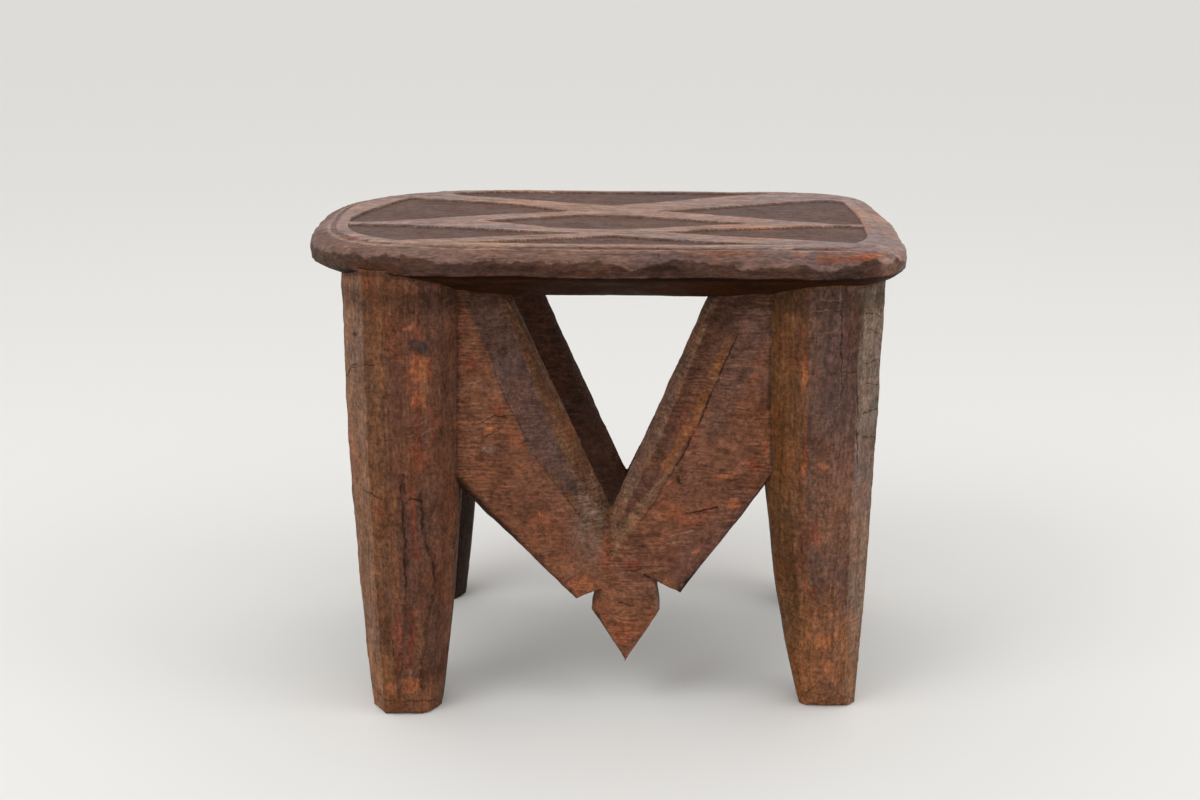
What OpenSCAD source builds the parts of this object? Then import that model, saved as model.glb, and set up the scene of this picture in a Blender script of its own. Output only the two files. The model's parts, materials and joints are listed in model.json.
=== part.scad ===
// Hand-carved wooden stool: a rounded seat with a carved lattice on top, four faceted legs,
// and a V-shaped brace with a pendant between each pair of legs.
// X runs along the seat, Y from front to back, Z up. The origin is on the floor, under the
// middle of the seat.

/* [Seat] */
// Length of the seat, end to end
seat_length = 431; // [390:1:480]
// Depth of the seat, front to back
seat_depth = 296; // [270:1:330]
// Height of the top above the floor
seat_height = 345; // [310:1:380]
// Squareness of the front left corner
front_left_power = 4.8; // [3:0.1:7]
// Squareness of the front right corner
front_right_power = 9; // [3:0.5:10]
// Squareness of the back left corner
back_left_power = 3.3; // [3:0.1:7]
// Squareness of the back right corner
back_right_power = 7.5; // [3:0.5:10]
// How far the left end curves in at its corners
left_end_bow = 15; // [0:1:20]
// How far the right end curves in at its front corner
right_end_bow = 15; // [0:1:20]
// Thickness of the seat at its middle
seat_thickness = 42; // [36:1:48]
// Thickness of the seat's edge, above the undercut
edge_thickness = 20; // [12:1:24]
// How far the undercut runs in below the edge
undercut_run = 44; // [30:1:60]
// Width of the bevel round the top
bevel_run = 12; // [6:1:16]
// Drop of the bevel round the top
bevel_drop = 6; // [3:0.5:9]

/* [Carving] */
// Flat border between the bevel and each end of the carved field
end_border = 15; // [12:1:30]
// Flat border between the bevel and the front of the carved field
front_border = 18; // [10:1:26]
// Flat border between the bevel and the back of the carved field
back_border = 14; // [10:1:26]
// Depth of the sunk panels
panel_depth = 1.6; // [0.8:0.1:3]
// Distance of the incised line from the bevel
line_inset = 4; // [3:0.5:7]
// Width of the incised line
line_width = 1.4; // [1:0.1:2.5]
// Depth of the incised line
line_depth = 0.8; // [0.4:0.1:1.5]

/* [Legs] */
// Width of the left legs at the top, along the seat
left_leg_width = 85; // [70:1:90]
// Width of the front right leg at the top
right_leg_width = 86; // [70:1:92]
// Width of the back right leg at the top
back_right_leg_width = 76; // [66:1:86]
// Depth of a leg at the top, across the seat
leg_depth = 80; // [70:1:84]
// Distance of the left legs from the end of the seat
left_leg_inset = 32; // [20:1:44]
// Distance of the front right leg from the end of the seat
right_leg_inset = 22; // [18:1:44]
// Distance of the back right leg from the end of the seat
back_right_leg_inset = 17; // [14:1:36]
// Distance of the left legs' outward faces from the seat's front or back edge
left_leg_set_in = 8; // [3:0.5:16]
// Distance of the right legs' outward faces from the seat's front or back edge
right_leg_set_in = 12; // [3:0.5:18]
// Width of the left feet
left_foot_width = 51; // [40:1:60]
// Depth of the left feet
left_foot_depth = 56; // [40:1:70]
// Width of the front right foot
right_foot_width = 43; // [36:1:60]
// Width of the back right foot
back_right_foot_width = 38; // [34:1:56]
// Depth of the right feet
right_foot_depth = 46; // [40:1:70]
// How far the left legs lean in at the foot, along their outer side
left_foot_lean = 15; // [0:1:18]
// How far the front right leg leans in at the foot, along its outer side
right_foot_lean = 6; // [0:1:16]
// How far the back right leg leans in at the foot, along its outer side
back_right_foot_lean = 3; // [0:1:16]
// How far the left legs' outward faces step back at the foot
left_foot_set_back = 4; // [0:1:18]
// How far the right legs' outward faces step back at the foot
right_foot_set_back = 15; // [0:1:18]
// How strongly the legs swell above the foot
leg_swell_power = 2.3; // [1.5:0.1:3]
// Distance of the back legs' corners inside the outline of the seat
leg_margin = 3; // [1:0.5:8]
// Height of the chamfer under the left feet
left_foot_chamfer = 9; // [4:1:24]
// Height of the chamfer under the right feet
right_foot_chamfer = 18; // [4:1:24]
// Slope of the foot chamfers, as depth for each unit of height
foot_chamfer_slope = 0.5; // [0.3:0.05:0.8]

/* [Braces] */
// Distance of a brace's face from the seat's front or back edge
brace_set_back = 31; // [24:1:38]
// Thickness of a brace
brace_thickness = 34; // [26:1:40]
// Distance of the left edge of both V openings from the middle, under the seat
opening_left = 67; // [55:1:75]
// Distance of the right edge of the front V opening from the middle, under the seat
front_opening_right = 71; // [60:1:80]
// Distance of the right edge of the back V opening from the middle, under the seat
back_opening_right = 104; // [80:1:110]
// Height of the point of the front V opening
front_apex = 149; // [140:1:165]
// Height of the point of the back V opening
back_apex = 117; // [110:1:165]
// Distance of the front brace's middle from the middle of the seat
front_brace_offset = 5; // [-5:1:12]
// Distance of the back brace's middle from the middle of the seat
back_brace_offset = 19; // [0:1:22]
// Height at which the front brace's lower edge leaves the left leg
front_foot_left = 165; // [155:1:185]
// Height at which the front brace's lower edge leaves the right leg
front_foot_right = 166; // [155:1:185]
// Height at which the back brace's lower edge leaves both legs
back_foot = 145; // [130:1:165]
// Depth of the broad bevel beside the opening
broad_bevel_depth = 9; // [5:1:12]
// Depth of the steep bevel at the edge of the opening
steep_bevel_depth = 15; // [10:1:16]
// Width of the chamfer along the lower edge of a brace
brace_chamfer = 6; // [3:0.5:8]

/* [Pendants] */
// Height of the front pendant's tip above the floor
front_pendant_tip = 33; // [25:1:45]
// Height of the front pendant's two corners above its tip
front_pendant_rise = 41; // [34:1:44]
// Height of the back pendant's tip above the floor
back_pendant_tip = 22; // [12:1:30]
// Height of the back pendant's two corners above its tip
back_pendant_rise = 32; // [24:1:36]
// Width of a pendant across its corners
pendant_width = 51; // [44:1:58]
// Distance of the front pendant's tip to the right of the front brace's middle
pendant_offset = 11; // [4:1:14]

/* [Hidden] */
$fn = 48;

// Sides of the seat's outline
outline_sides = 72;
// Thickness of the slices that the hulls join
slice = 0.01;
// Length by which a cutting shape passes a face
pass = 1;

seat_half_x = seat_length / 2;
seat_half_y = seat_depth / 2;
soffit_z = seat_height - seat_thickness;
edge_z = seat_height - edge_thickness;
bevel_z = seat_height - bevel_drop;

// The carved field, which follows the seat's outline at its ends
field_x = seat_half_x - bevel_run - end_border;
field_front = -(seat_half_y - bevel_run - front_border);
field_back = seat_half_y - bevel_run - back_border;
field_middle = (field_front + field_back) / 2;

// Corners of the sunk panels, drawn on a field of this size about its own centre
drawn_field = [370, 240];
panels = [
    [
        [-152, 79], [-73, 52], [-27, 18], [-68, 6], [-154, -33], [-190, -40],
        [-183, -14], [-179, 4], [-172, 28], [-163, 56]
    ],
    [[-200, -47], [-142, -50], [-22, -79], [-138, -112], [-200, -100]],
    [[-90, -30], [-26, 2], [3, 4], [101, -30], [31, -58], [3, -63], [-29, -57]],
    [[38, 21], [163, 84], [176, 86], [210, 64], [210, -32], [166, -33], [115, -10]],
    [[38, -72], [63, -61], [166, -37], [210, -36], [210, -108], [164, -110]],
    [[-142, 126], [-112, 91], [4, 46], [88, 97], [148, 126]],
    [[-106, -122], [4, -88], [118, -122]]
];

// Corners of a front leg's section, as shares of half its width and half its depth
left_section = [
    [-1, -0.26], [-0.59, -0.83], [-0.23, -0.99], [0.16, -1], [0.69, -0.75], [1, -0.26],
    [1, 0.25], [0.72, 0.73], [0.25, 0.98], [-0.28, 0.98], [-0.74, 0.7], [-1, 0.25]
];
right_section = [
    [-1, -0.42], [-0.59, -0.77], [-0.32, -0.93], [0.16, -0.97], [0.54, -0.73], [0.98, -0.31],
    [1, 0.25], [0.72, 0.73], [0.25, 0.98], [-0.28, 0.98], [-0.74, 0.7], [-1, 0.25]
];
leg_levels = [0, 0.14, 0.3, 0.5, 0.7, 1];

// Outer and inner side of each leg, at the top and at the foot
left_leg_outer = -seat_half_x + left_leg_inset;
left_leg_inner = left_leg_outer + left_leg_width;
left_foot_outer = left_leg_outer + left_foot_lean;
left_foot_inner = left_foot_outer + left_foot_width;
right_leg_outer = seat_half_x - right_leg_inset;
right_leg_inner = right_leg_outer - right_leg_width;
right_foot_outer = right_leg_outer - right_foot_lean;
right_foot_inner = right_foot_outer - right_foot_width;
back_right_leg_outer = seat_half_x - back_right_leg_inset;
back_right_leg_inner = back_right_leg_outer - back_right_leg_width;
back_right_foot_outer = back_right_leg_outer - back_right_foot_lean;
back_right_foot_inner = back_right_foot_outer - back_right_foot_width;

// Planes of a brace, counted back from its face
brace_face = seat_half_y - brace_set_back;
brace_planes = [
    0,
    broad_bevel_depth,
    broad_bevel_depth + steep_bevel_depth,
    brace_thickness
];
brace_top = edge_z;
leg_bite = 20;

// For each plane, how far its outline lies outside the opening's edge: at the height of the
// bend, under the seat and below the opening's point
bend_height = 195;
left_bends = [36, 15, 0, 8];
right_bends = [29, 10, 0, 8];
top_steps = [28, 4, 0, 8];
point_drops = [34, 17, 0, 17];

// For each plane, how far the lower edge is raised by its chamfer
edge_rises = [1.4 * brace_chamfer, 0, 0, 0.8 * brace_chamfer];

// Height where the two struts part above the pendant, and the lower end of each strut as
// distance from the brace's middle and height
front_joint = 95;
back_joint = 74;
left_notch = [6, 93];
left_tip = [25, 84];
right_notch = [26, 102];
right_tip = [46, 90];
back_notch = [12, 77];
back_tip = [36, 64];

// For each plane, how far the pendant's chamfers cut in: left side, right side, lower sides
pendant_left_cuts = [5, 0, 0, 3];
pendant_right_cuts = [2.5, 0, 0, 3];
pendant_tip_cuts = [2.5, 0, 0, 3];
shoulder_inset = 3;

function corner_power(angle) =
    angle < 90 ? back_right_power :
    angle < 180 ? back_left_power :
    angle < 270 ? front_left_power :
    front_right_power;

function seat_point(half_x, half_y, angle) =
    let (
        power = corner_power(angle),
        x = sign(cos(angle)) * pow(abs(cos(angle)), 2 / power),
        y = sign(sin(angle)) * pow(abs(sin(angle)), 2 / power),
        bow = x < 0 ? left_end_bow : y < 0 ? right_end_bow : 0
    )
    [x * (half_x - bow * y * y), y * half_y];

function seat_outline(inset) = [
    for (side = [0 : outline_sides - 1])
        seat_point(seat_half_x - inset, seat_half_y - inset, side * 360 / outline_sides)
];

module seat_slice(inset, z, height) {
    translate([0, 0, z])
        linear_extrude(height)
            polygon(seat_outline(inset));
}

module field_outline() {
    intersection() {
        polygon(seat_outline(bevel_run + end_border));
        translate([-field_x, field_front])
            square([2 * field_x, field_back - field_front]);
    }
}

module panel_outline(corners) {
    stretch = [2 * field_x / drawn_field.x, (field_back - field_front) / drawn_field.y];
    intersection() {
        field_outline();
        polygon([
            for (corner = corners)
                [corner.x * stretch.x, field_middle + corner.y * stretch.y]
        ]);
    }
}

// The whole seat before carving: undercut, edge and bevel all follow its outline
module seat_body() {
    hull() {
        seat_slice(undercut_run, soffit_z, slice);
        seat_slice(0, edge_z, bevel_z - edge_z);
        seat_slice(bevel_run, seat_height - slice, slice);
    }
}

module seat() {
    color("rosybrown")
    difference() {
        seat_body();
        for (corners = panels)
            translate([0, 0, seat_height - panel_depth])
                linear_extrude(panel_depth + pass)
                    panel_outline(corners);
        translate([0, 0, seat_height - line_depth])
            linear_extrude(line_depth + pass)
                difference() {
                    polygon(seat_outline(bevel_run + line_inset));
                    polygon(seat_outline(bevel_run + line_inset + line_width));
                }
    }
}

function swell(level) = 1 - pow(1 - level, leg_swell_power);

// Corners of a front leg at one level. top and foot hold its outer and its inner side.
function leg_ring(level, top, foot, set_in, foot_set_back, foot_depth, section) =
    let (
        outer = foot[0] + (top[0] - foot[0]) * swell(level),
        inner = foot[1] + (top[1] - foot[1]) * swell(level),
        half_depth = (foot_depth + (leg_depth - foot_depth) * swell(level)) / 2,
        front = -seat_half_y + set_in + foot_set_back * (1 - swell(level))
    )
    [
        for (corner = section)
            [
                (outer + inner) / 2 + corner.x * abs(outer - inner) / 2,
                front + half_depth + corner.y * half_depth
            ]
    ];

// A front leg, with the chamfer under its foot
module leg_column(top, foot, set_in, foot_set_back, foot_depth, section, chamfer) {
    foot_front = -seat_half_y + set_in + foot_set_back;
    difference() {
        hull()
            for (level = leg_levels)
                translate([0, 0, level * (edge_z - slice)])
                    linear_extrude(slice)
                        polygon(leg_ring(level, top, foot, set_in, foot_set_back, foot_depth, section));
        rotate([90, 0, 90])
            linear_extrude(2 * seat_length, center = true)
                polygon([
                    [foot_front + chamfer * foot_chamfer_slope, 0],
                    [foot_front + (chamfer + pass) * foot_chamfer_slope, -pass],
                    [-seat_half_y, -pass],
                    [-seat_half_y, chamfer + (foot_front + seat_half_y) / foot_chamfer_slope]
                ]);
    }
}

module left_leg_column() {
    leg_column([left_leg_outer, left_leg_inner], [left_foot_outer, left_foot_inner],
               left_leg_set_in, left_foot_set_back, left_foot_depth, left_section,
               left_foot_chamfer);
}

module right_leg_column() {
    leg_column([right_leg_outer, right_leg_inner], [right_foot_outer, right_foot_inner],
               right_leg_set_in, right_foot_set_back, right_foot_depth, right_section,
               right_foot_chamfer);
}

module back_right_leg_column() {
    leg_column([back_right_leg_outer, back_right_leg_inner],
               [back_right_foot_outer, back_right_foot_inner],
               right_leg_set_in, right_foot_set_back, right_foot_depth, right_section,
               right_foot_chamfer);
}

module at_back() {
    mirror([0, 1, 0])
        children();
}

// Cut off where the seat begins
module under_seat() {
    difference() {
        children();
        seat_body();
    }
}

// Kept inside the outline of the seat above
module within_outline() {
    intersection() {
        children();
        translate([0, 0, -pass])
            linear_extrude(seat_height + pass)
                polygon(seat_outline(leg_margin));
    }
}

module front_left_leg() {
    color("sienna")
    under_seat()
        left_leg_column();
}

module front_right_leg() {
    color("sienna")
    under_seat()
        right_leg_column();
}

module back_left_leg() {
    color("saddlebrown")
    under_seat()
        within_outline()
            at_back()
                left_leg_column();
}

module back_right_leg() {
    color("saddlebrown")
    under_seat()
        within_outline()
            at_back()
                back_right_leg_column();
}

// Solid between outlines that lie on planes one behind the other
module loft(outlines, planes) {
    count = len(outlines[0]);
    last = len(outlines) - 1;
    points = [
        for (i = [0 : last])
            for (p = outlines[i])
                [p.x, planes[i], p.y]
    ];
    walls = [
        for (i = [0 : last - 1])
            for (k = [0 : count - 1])
                let (a = i * count + k, b = i * count + (k + 1) % count)
                each [[a, b, b + count], [a, b + count, a + count]]
    ];
    front = [for (k = [count - 1 : -1 : 0]) k];
    back = [for (k = [0 : count - 1]) last * count + k];
    polyhedron(points = points, faces = concat([front], walls, [back]));
}

// Outline of a strut on one plane, as distance outward from the brace's middle and height.
// leg and opening are the distances of the leg's inner side and of the opening's edge under
// the seat, and point is the height of the opening's lower end.
function strut_outline(plane, leg, opening, point, joint, foot, notch, tip, bends) =
    let (
        spread = opening / (soffit_z - point),
        rise = edge_rises[plane],
        slope = (foot - tip.y) / (leg - tip.x)
    )
    [
        [0, joint],
        notch,
        tip,
        [leg + leg_bite, foot + leg_bite * slope + rise],
        [leg + leg_bite, brace_top],
        [(brace_top - point) * spread + top_steps[plane], brace_top],
        [(bend_height - point) * spread + bends[plane], bend_height],
        [0, point - point_drops[plane]]
    ];

// A strut that leaves the brace's middle towards +X
module strut(leg, opening, point, joint, foot, notch, tip, bends) {
    loft(
        [
            for (plane = [0 : len(brace_planes) - 1])
                strut_outline(plane, leg, opening, point, joint, foot, notch, tip, bends)
        ],
        [for (plane = brace_planes) plane - brace_face]
    );
}

module left_strut_blank(middle, point, joint, foot, notch, tip) {
    translate([middle, 0, 0])
        mirror([1, 0, 0])
            strut(middle - left_leg_inner, middle + opening_left, point, joint, foot,
                  notch, tip, left_bends);
}

module right_strut_blank(middle, leg_inner, opening_right, point, joint, foot, notch, tip) {
    translate([middle, 0, 0])
        strut(leg_inner - middle, opening_right - middle, point, joint, foot,
              notch, tip, right_bends);
}

// Height of a strut's lower end at a distance outward from the brace's middle
function underside(notch, tip, out) =
    notch.y + (tip.y - notch.y) * (out - notch.x) / (tip.x - notch.x);

// Outline of a pendant on one plane, measured from the brace's middle. low and rise give the
// height of its tip and of its corners above the tip.
function pendant_outline(plane, joint, low, rise, shift, left, left_end, right, right_end) =
    let (
        half = pendant_width / 2,
        corner = low + rise,
        left_x = shift - half + pendant_left_cuts[plane],
        right_x = shift + half - pendant_right_cuts[plane],
        left_neck = left_x + shoulder_inset,
        right_neck = right_x - shoulder_inset
    )
    [
        [left_x, corner],
        [shift, low + pendant_tip_cuts[plane]],
        [right_x, corner],
        [right_neck, underside(right, right_end, right_neck)],
        right,
        [0, joint],
        [-left.x, left.y],
        [left_neck, underside(left, left_end, -left_neck)]
    ];

// A pendant whose top follows the lower ends of both struts
module pendant(middle, joint, low, rise, shift, left, left_end, right, right_end) {
    translate([middle, 0, 0])
        loft(
            [
                for (plane = [0 : len(brace_planes) - 1])
                    pendant_outline(plane, joint, low, rise, shift,
                                    left, left_end, right, right_end)
            ],
            [for (plane = brace_planes) plane - brace_face]
        );
}

module front_left_strut() {
    color("brown")
    under_seat()
        difference() {
            left_strut_blank(front_brace_offset, front_apex, front_joint, front_foot_left,
                             left_notch, left_tip);
            left_leg_column();
        }
}

module front_right_strut() {
    color("brown")
    under_seat()
        difference() {
            right_strut_blank(front_brace_offset, right_leg_inner, front_opening_right,
                              front_apex, front_joint, front_foot_right,
                              right_notch, right_tip);
            right_leg_column();
        }
}

module front_pendant() {
    color("firebrick")
    pendant(front_brace_offset, front_joint, front_pendant_tip, front_pendant_rise,
            pendant_offset, left_notch, left_tip, right_notch, right_tip);
}

module back_left_strut() {
    color("maroon")
    under_seat()
        at_back()
            difference() {
                left_strut_blank(back_brace_offset, back_apex, back_joint, back_foot,
                                 back_notch, back_tip);
                left_leg_column();
            }
}

module back_right_strut() {
    color("maroon")
    under_seat()
        at_back()
            difference() {
                right_strut_blank(back_brace_offset, back_right_leg_inner, back_opening_right,
                                  back_apex, back_joint, back_foot, back_notch, back_tip);
                back_right_leg_column();
            }
}

module back_pendant() {
    color("darkred")
    at_back()
        pendant(back_brace_offset, back_joint, back_pendant_tip, back_pendant_rise,
                0, back_notch, back_tip, back_notch, back_tip);
}

seat();
front_left_leg();
front_right_leg();
back_left_leg();
back_right_leg();
front_left_strut();
front_right_strut();
front_pendant();
back_left_strut();
back_right_strut();
back_pendant();
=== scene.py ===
import json
import math

import bmesh
import bpy
import numpy as np
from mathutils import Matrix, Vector
from mathutils.bvhtree import BVHTree
from mathutils.kdtree import KDTree

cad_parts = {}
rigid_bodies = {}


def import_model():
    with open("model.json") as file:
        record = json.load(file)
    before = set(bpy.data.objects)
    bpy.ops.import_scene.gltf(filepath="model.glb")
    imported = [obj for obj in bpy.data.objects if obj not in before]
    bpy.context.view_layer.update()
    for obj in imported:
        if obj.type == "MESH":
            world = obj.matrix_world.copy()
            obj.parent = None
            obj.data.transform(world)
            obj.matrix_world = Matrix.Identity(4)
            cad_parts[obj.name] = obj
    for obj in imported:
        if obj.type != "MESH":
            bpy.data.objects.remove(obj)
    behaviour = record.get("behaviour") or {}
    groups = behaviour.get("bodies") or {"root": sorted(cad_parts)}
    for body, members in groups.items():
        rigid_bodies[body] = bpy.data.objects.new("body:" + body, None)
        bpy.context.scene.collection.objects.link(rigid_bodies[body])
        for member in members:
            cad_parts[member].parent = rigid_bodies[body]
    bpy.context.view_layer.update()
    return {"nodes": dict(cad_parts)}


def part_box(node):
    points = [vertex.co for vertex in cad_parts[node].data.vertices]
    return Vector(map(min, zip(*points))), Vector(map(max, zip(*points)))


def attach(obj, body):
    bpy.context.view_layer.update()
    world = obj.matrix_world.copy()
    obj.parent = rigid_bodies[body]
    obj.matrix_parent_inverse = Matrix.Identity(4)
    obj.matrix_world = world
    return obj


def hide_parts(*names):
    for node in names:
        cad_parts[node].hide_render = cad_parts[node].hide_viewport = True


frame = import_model()
mm = 0.001

# Picking and copying

merging = {"distance": 0.02 * mm, "angle": math.radians(0.8)}


def pick(piece):
    bpy.ops.object.select_all(action="DESELECT")
    piece.select_set(True)
    bpy.context.view_layer.objects.active = piece


def editMode(selection="SELECT"):
    bpy.ops.object.mode_set(mode="EDIT")
    bpy.ops.mesh.select_all(action=selection)


def objectMode():
    bpy.ops.object.mode_set(mode="OBJECT")


def copyPiece(source, name):
    pick(source)
    bpy.ops.object.duplicate()
    piece = bpy.context.active_object
    piece.name = name
    bpy.ops.object.parent_clear(type="CLEAR_KEEP_TRANSFORM")
    for key in list(piece.keys()):
        del piece[key]
    piece.data.materials.clear()
    return piece


def mergeFlats(piece):
    # merges loose triangles into the flat faces that the knife left
    pick(piece)
    editMode()
    bpy.ops.mesh.remove_doubles(threshold=merging["distance"])
    bpy.ops.mesh.dissolve_limited(angle_limit=merging["angle"])
    objectMode()


def copyNode(node, name):
    piece = copyPiece(frame["nodes"][node], name)
    bpy.ops.mesh.customdata_custom_splitnormals_clear()
    mergeFlats(piece)
    return piece


def applyModifier(piece, kind, **settings):
    pick(piece)
    modifier = piece.modifiers.new(kind.lower(), kind)
    for key, value in settings.items():
        setattr(modifier, key, value)
    bpy.ops.object.modifier_apply(modifier=modifier.name)


def editFaces(piece, test):
    # edit mode with only the faces that pass the test selected
    pick(piece)
    editMode("DESELECT")
    bpy.ops.mesh.select_mode(type="FACE")
    objectMode()
    for face in piece.data.polygons:
        face.select = test(face)
    bpy.ops.object.mode_set(mode="EDIT")


def pushFaces(piece, test, shift):
    # moves faces, such as a leg's top, into the neighbour
    editFaces(piece, test)
    bpy.ops.transform.translate(value=shift)
    objectMode()


# Reading the shape


def facesTree(piece):
    mesh = piece.data
    return BVHTree.FromPolygons([v.co for v in mesh.vertices], [p.vertices for p in mesh.polygons])


def pointsBetween(start, end, spacing):
    steps = max(1, int((end - start).length / spacing))
    return [start.lerp(end, k / steps) for k in range(steps + 1)]


def ridgePoints(piece, least):
    # points along the edges that stand out by at least so many degrees
    shape = bmesh.new()
    shape.from_mesh(piece.data)
    points = []
    for edge in shape.edges:
        if len(edge.link_faces) != 2:
            continue
        if edge.calc_face_angle_signed(0) < math.radians(least):
            continue
        points += pointsBetween(edge.verts[0].co, edge.verts[1].co, carving["spacing"])
    shape.free()
    return points


def pointTree(points):
    tree = KDTree(len(points))
    for k, point in enumerate(points):
        tree.insert(point, k)
    tree.balance()
    return tree


def nearness(piece, tree, reach):
    # 1 on the points of the tree, falling to 0 at the reach
    return np.array([max(0.0, 1 - tree.find(v.co)[2] / reach) for v in piece.data.vertices])


def neighbourNearness(piece, nodes, reach):
    # the same for the faces of the neighbouring nodes
    values = np.zeros(len(piece.data.vertices))
    for node in nodes:
        tree = facesTree(frame["nodes"][node])
        low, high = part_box(node)
        for v in piece.data.vertices:
            if any(v.co[k] < low[k] - reach or v.co[k] > high[k] + reach for k in range(3)):
                continue
            hit = tree.find_nearest(v.co, reach)
            if hit[0] is not None:
                values[v.index] = max(values[v.index], 1 - hit[3] / reach)
    return values


def writeAttribute(piece, name, values):
    layer = piece.data.attributes.get(name) or piece.data.attributes.new(name, "FLOAT", "POINT")
    layer.data.foreach_set("value", np.asarray(values, np.float32))


def writeGroup(piece, name, values):
    group = piece.vertex_groups.get(name) or piece.vertex_groups.new(name=name)
    for k, value in enumerate(values):
        if value > 0.01:
            group.add([k], float(value), "REPLACE")


def dent(piece, name, size, depth, keep, group="", stretch=(1, 1, 1)):
    # hollows of one size, cut inwards. keep is the share of the pattern that stands proud
    texture = bpy.data.textures.new(name, "CLOUDS")
    texture.noise_scale = size
    texture.noise_depth = 2
    # an empty off to the side gives the pattern its place and stretch
    bpy.ops.object.empty_add(location=(0.37, 0.21, 0.13))
    guide = bpy.context.active_object
    guide.scale = stretch
    bpy.context.view_layer.update()
    applyModifier(
        piece, "DISPLACE", texture=texture, texture_coords="OBJECT", texture_coords_object=guide,
        strength=depth, mid_level=1 - keep, vertex_group=group, direction="NORMAL",
    )
    bpy.data.objects.remove(guide)
    bpy.data.textures.remove(texture)


# Shader building


def paint(red, green, blue):
    # a colour as it shows on the screen, 0 to 255, turned into light
    levels = [c / 255 for c in (red, green, blue)]
    return tuple(c / 12.92 if c < 0.04 else ((c + 0.055) / 1.055) ** 2.4 for c in levels) + (1,)


def put(tree, kind, **settings):
    node = tree.nodes.new(kind)
    for key, value in settings.items():
        setattr(node, key, value)
    return node


def feed(tree, socket, value):
    if isinstance(value, bpy.types.NodeSocket):
        tree.links.new(value, socket)
    elif value is not None:
        socket.default_value = value


def maths(tree, operation, first, second=None):
    node = put(tree, "ShaderNodeMath", operation=operation)
    feed(tree, node.inputs[0], first)
    feed(tree, node.inputs[1], second)
    return node.outputs[0]


def times(tree, first, second):
    return maths(tree, "MULTIPLY", first, second)


def centred(tree, value):
    # a noise of 0 to 1 moved to lie around 0
    return maths(tree, "SUBTRACT", value, 0.5)


def vectorMaths(tree, operation, first, second=None, scale=None):
    node = put(tree, "ShaderNodeVectorMath", operation=operation)
    feed(tree, node.inputs[0], first)
    feed(tree, node.inputs[1], second)
    if scale is not None:
        feed(tree, node.inputs["Scale"], scale)
    return node.outputs["Value" if operation in ("LENGTH", "DOT_PRODUCT") else "Vector"]


def smoothStep(tree, value, low, high, start=0.0, end=1.0):
    node = put(tree, "ShaderNodeMapRange", interpolation_type="SMOOTHSTEP")
    feed(tree, node.inputs["Value"], value)
    feed(tree, node.inputs["From Min"], low)
    feed(tree, node.inputs["From Max"], high)
    feed(tree, node.inputs["To Min"], start)
    feed(tree, node.inputs["To Max"], end)
    return node.outputs["Result"]


def noise(tree, vector, scale, detail=4.0, roughness=0.55, part="Fac"):
    node = put(tree, "ShaderNodeTexNoise")
    feed(tree, node.inputs["Vector"], vector)
    feed(tree, node.inputs["Scale"], scale)
    feed(tree, node.inputs["Detail"], detail)
    feed(tree, node.inputs["Roughness"], roughness)
    return node.outputs[part]


def mix(tree, amount, under, over, mode="MIX"):
    node = put(tree, "ShaderNodeMix", data_type="RGBA", blend_type=mode, clamp_factor=True)
    feed(tree, node.inputs[0], amount)
    feed(tree, node.inputs[6], under)
    feed(tree, node.inputs[7], over)
    return node.outputs[2]


def startGroup(name, inputs, outputs):
    group = bpy.data.node_groups.new(name, "ShaderNodeTree")
    for label, value in inputs.items():
        kind = "NodeSocketVector" if isinstance(value, tuple) else "NodeSocketFloat"
        socket = group.interface.new_socket(name=label, in_out="INPUT", socket_type=kind)
        socket.default_value = value
    for label in outputs:
        group.interface.new_socket(name=label, in_out="OUTPUT", socket_type="NodeSocketFloat")
    return group, put(group, "NodeGroupInput").outputs, put(group, "NodeGroupOutput").inputs


def useGroup(tree, group, output, **values):
    node = put(tree, "ShaderNodeGroup", node_tree=group)
    for label, value in values.items():
        feed(tree, node.inputs[label], value)
    return node.outputs[output]


def makeBlotches():
    # patches of any size, with ragged edges
    group, given, result = startGroup("Blotches", {
        "Vector": (0, 0, 0), "Stretch": (1, 1, 1), "Scale": 20, "Cover": 0.5, "Edge": 0.1, "Detail": 5,
    }, ["Mask"])
    laid = vectorMaths(group, "MULTIPLY", given["Vector"], given["Stretch"])
    value = noise(group, laid, given["Scale"], given["Detail"], 0.6)
    middle = maths(group, "SUBTRACT", 1.0, given["Cover"])
    low = maths(group, "SUBTRACT", middle, given["Edge"])
    high = maths(group, "ADD", middle, given["Edge"])
    feed(group, result["Mask"], smoothStep(group, value, low, high))
    return group


def makeFibres():
    # long wood fibres and the tool's fine lines, bent a little by Curl
    group, given, result = startGroup("Fibres", {
        "Vector": (0, 0, 0), "Stretch": (0.1, 1, 1), "Scale": 400, "Curl": 0.004, "Curl scale": 40,
    }, ["Line", "Thread"])
    sway = noise(group, given["Vector"], given["Curl scale"], 2.0, 0.5, "Color")
    sway = vectorMaths(group, "SUBTRACT", sway, (0.5, 0.5, 0.5))
    sway = vectorMaths(group, "SCALE", sway, scale=given["Curl"])
    bent = vectorMaths(group, "ADD", given["Vector"], sway)
    laid = vectorMaths(group, "MULTIPLY", bent, given["Stretch"])
    line = noise(group, laid, given["Scale"], 3.0, 0.6)
    finer = times(group, given["Scale"], 2.7)
    thread = noise(group, laid, finer, 2.0, 0.5)
    feed(group, result["Line"], smoothStep(group, line, 0.32, 0.68))
    feed(group, result["Thread"], smoothStep(group, thread, 0.3, 0.7))
    return group


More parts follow.
